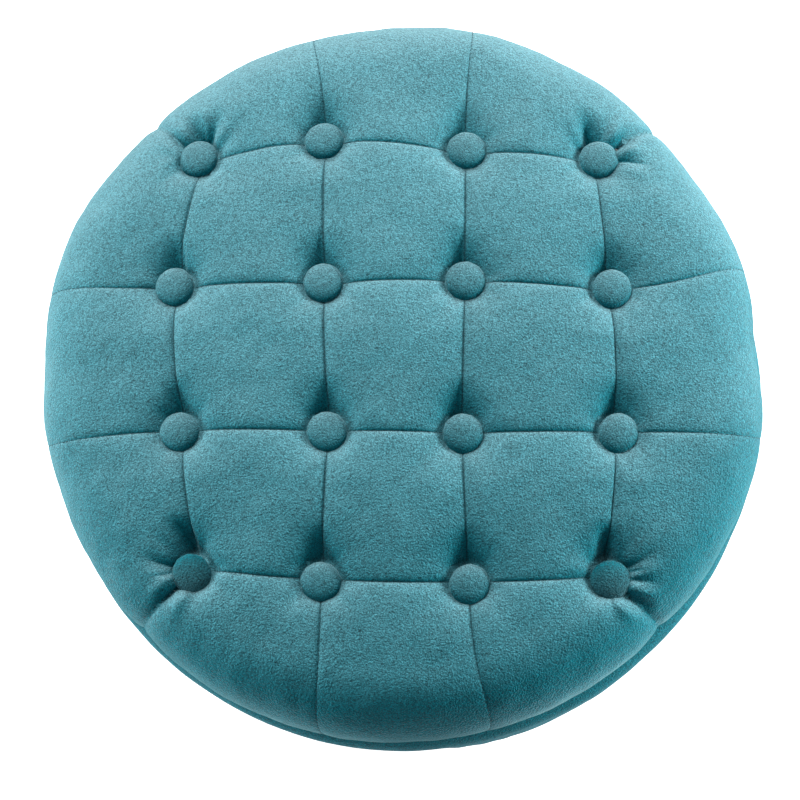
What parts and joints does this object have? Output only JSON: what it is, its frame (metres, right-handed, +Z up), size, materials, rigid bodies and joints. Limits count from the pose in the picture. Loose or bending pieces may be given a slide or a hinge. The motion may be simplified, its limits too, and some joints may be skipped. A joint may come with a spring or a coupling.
{
  "type": "storage ottoman",
  "caption": "Round upholstered storage ottoman: a padded velvet drum with an open storage space, low feet, and a deep square-tufted lid on a rear hinge.",
  "frame": {"origin": "the middle of the footprint on the floor, under the drum's own centre line", "axes": "+Z up, +X to the right for a person who stands at the front, +Y towards the hinge at the back"},
  "size_m": [0.463, 0.4679, 0.438],
  "materials": {
    "velvet": "short-pile velvet with a soft sheen",
    "button_velvet": "short-pile velvet stretched over a domed button",
    "lining_cloth": "black non-woven lining",
    "dust_cloth": "thin black non-woven dust cover",
    "foam": "open-cell upholstery foam",
    "batting": "white polyester fibre wrap",
    "plywood": "sawn plywood",
    "hardboard": "smooth bent plywood",
    "foot_wood": "black stained hardwood, satin",
    "felt": "pressed felt",
    "bumper_rubber": "matt rubber",
    "hinge_steel": "zinc-plated pressed steel",
    "zinc_steel": "zinc-plated steel",
    "zinc_wire": "galvanised staple wire",
    "twine": "waxed tufting twine"
  },
  "bodies": {
    "drum": {"top_ring": "plywood", "bottom_ring": "plywood", "drum_wall": "hardboard", "floor_panel": "hardboard", "floor_mat": "lining_cloth", "side_lining": "lining_cloth", "wall_foam": "foam", "side_cover": "velvet", "dust_cover": "dust_cloth", "hem_staples": "zinc_wire", "foot_front_left": "foot_wood", "foot_front_right": "foot_wood", "foot_back_left": "foot_wood", "foot_back_right": "foot_wood", "foot_bolts": "zinc_steel", "felt_pads": "felt", "rim_bumpers": "bumper_rubber", "hinge_base_leaf": "hinge_steel", "hinge_pin": "hinge_steel", "hinge_base_screws": "zinc_steel"},
    "lid": {"lid_board": "plywood", "seat_foam": "foam", "seat_batting": "batting", "seat_cover": "velvet", "lid_lining": "lining_cloth", "lid_staples": "zinc_wire", "tuft_cords": "twine", "cord_washers": "zinc_steel", "button_backs": "zinc_steel", "button_1_1": "button_velvet", "button_1_2": "button_velvet", "button_1_3": "button_velvet", "button_1_4": "button_velvet", "button_2_1": "button_velvet", "button_2_2": "button_velvet", "button_2_3": "button_velvet", "button_2_4": "button_velvet", "button_3_1": "button_velvet", "button_3_2": "button_velvet", "button_3_3": "button_velvet", "button_3_4": "button_velvet", "button_4_1": "button_velvet", "button_4_2": "button_velvet", "button_4_3": "button_velvet", "button_4_4": "button_velvet", "hinge_lid_leaf": "hinge_steel", "hinge_lid_screws": "zinc_steel"}
  },
  "joints": [
    {"name": "lid_hinge", "type": "hinge", "parent": "drum", "child": "lid", "pos_m": [0, 0.23, 0.332], "axis": [-1, 0, 0], "range_deg": [0, 100]}
  ]
}
